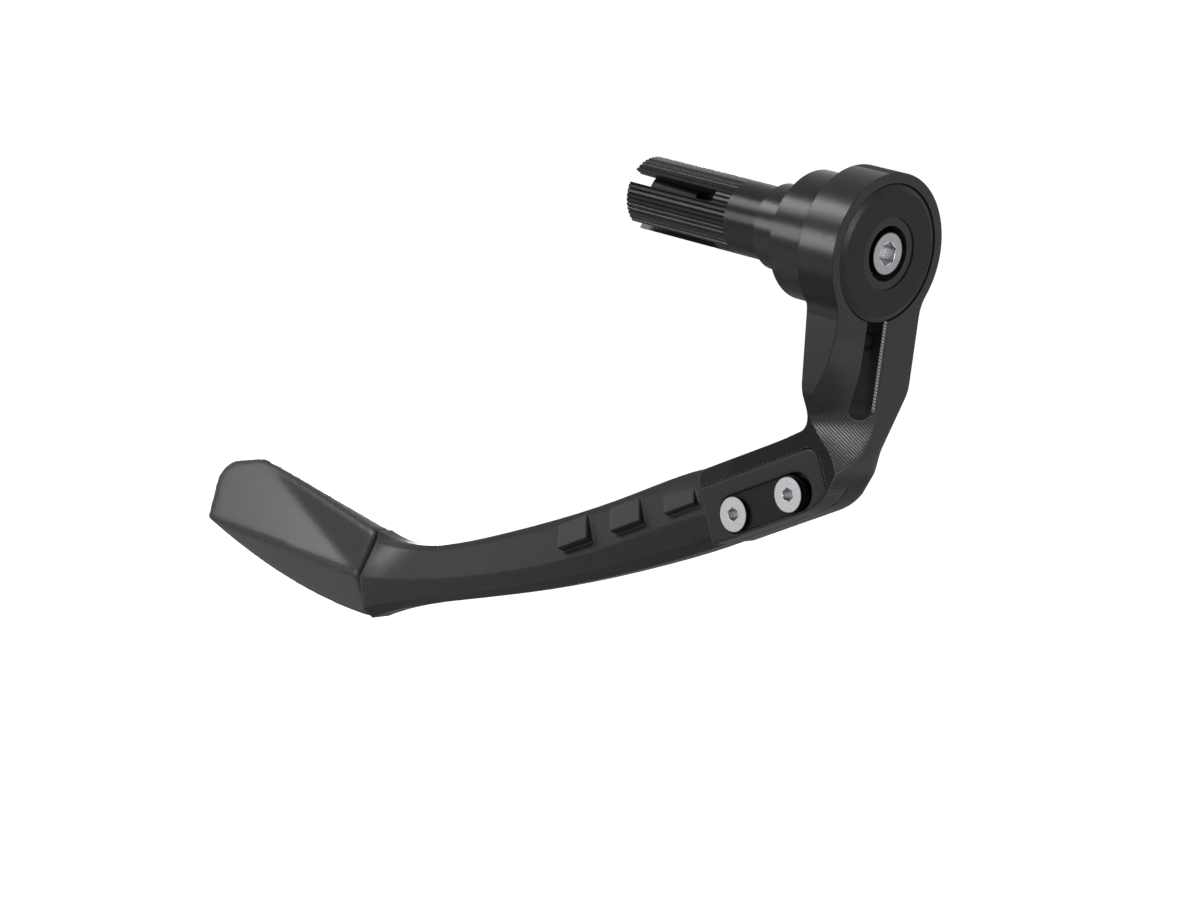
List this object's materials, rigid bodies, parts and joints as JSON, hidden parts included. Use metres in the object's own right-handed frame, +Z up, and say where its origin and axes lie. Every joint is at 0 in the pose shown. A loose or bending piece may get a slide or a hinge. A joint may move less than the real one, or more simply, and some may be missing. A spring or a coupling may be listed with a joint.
{
  "type": "clutch lever guard",
  "caption": "Bar-end lever guard: an expanding plug carries a clamped arm, whose bowed blade runs in front of the clutch lever and ends in a faceted tip.",
  "frame": {"origin": "on the bar axis, on the collar face that meets the handlebar's end", "axes": "+X outward along the bar axis, +Z up with the arm hanging down, -Y towards the side that carries the blade screws"},
  "size_m": [0.2263, 0.0376, 0.1464],
  "materials": {
    "black_anodised": "satin black anodised, turned",
    "black_anodised_cap": "matt black anodised, turned",
    "black_anodised_milled": "satin black anodised, milled",
    "black_steel": "black oxide",
    "bright_steel": "zinc plated, fine blasted",
    "black_plastic": "fine moulded grain",
    "black_plastic_tip": "fine moulded grain"
  },
  "bodies": {
    "bar_end": {"expander_sleeve": "black_anodised", "expander_cone": "black_steel", "collar": "black_anodised", "hub": "black_anodised", "cap_ring": "black_anodised_cap", "central_bolt": "bright_steel"},
    "arm": {"arm": "black_anodised_milled", "pinch_bolt": "black_steel", "clamp_plate": "black_anodised", "blade_screws": "bright_steel"},
    "blade": {"blade": "black_plastic", "tip": "black_plastic_tip"}
  },
  "joints": [
    {"name": "arm_turn", "type": "hinge", "parent": "bar_end", "child": "arm", "pos_m": [0.0257, 0, 0], "axis": [1, 0, 0], "continuous": true},
    {"name": "blade_slide", "type": "slide", "parent": "arm", "child": "blade", "axis": [-0.8788, 0, -0.4772], "range_m": [0, 0.0025]}
  ]
}
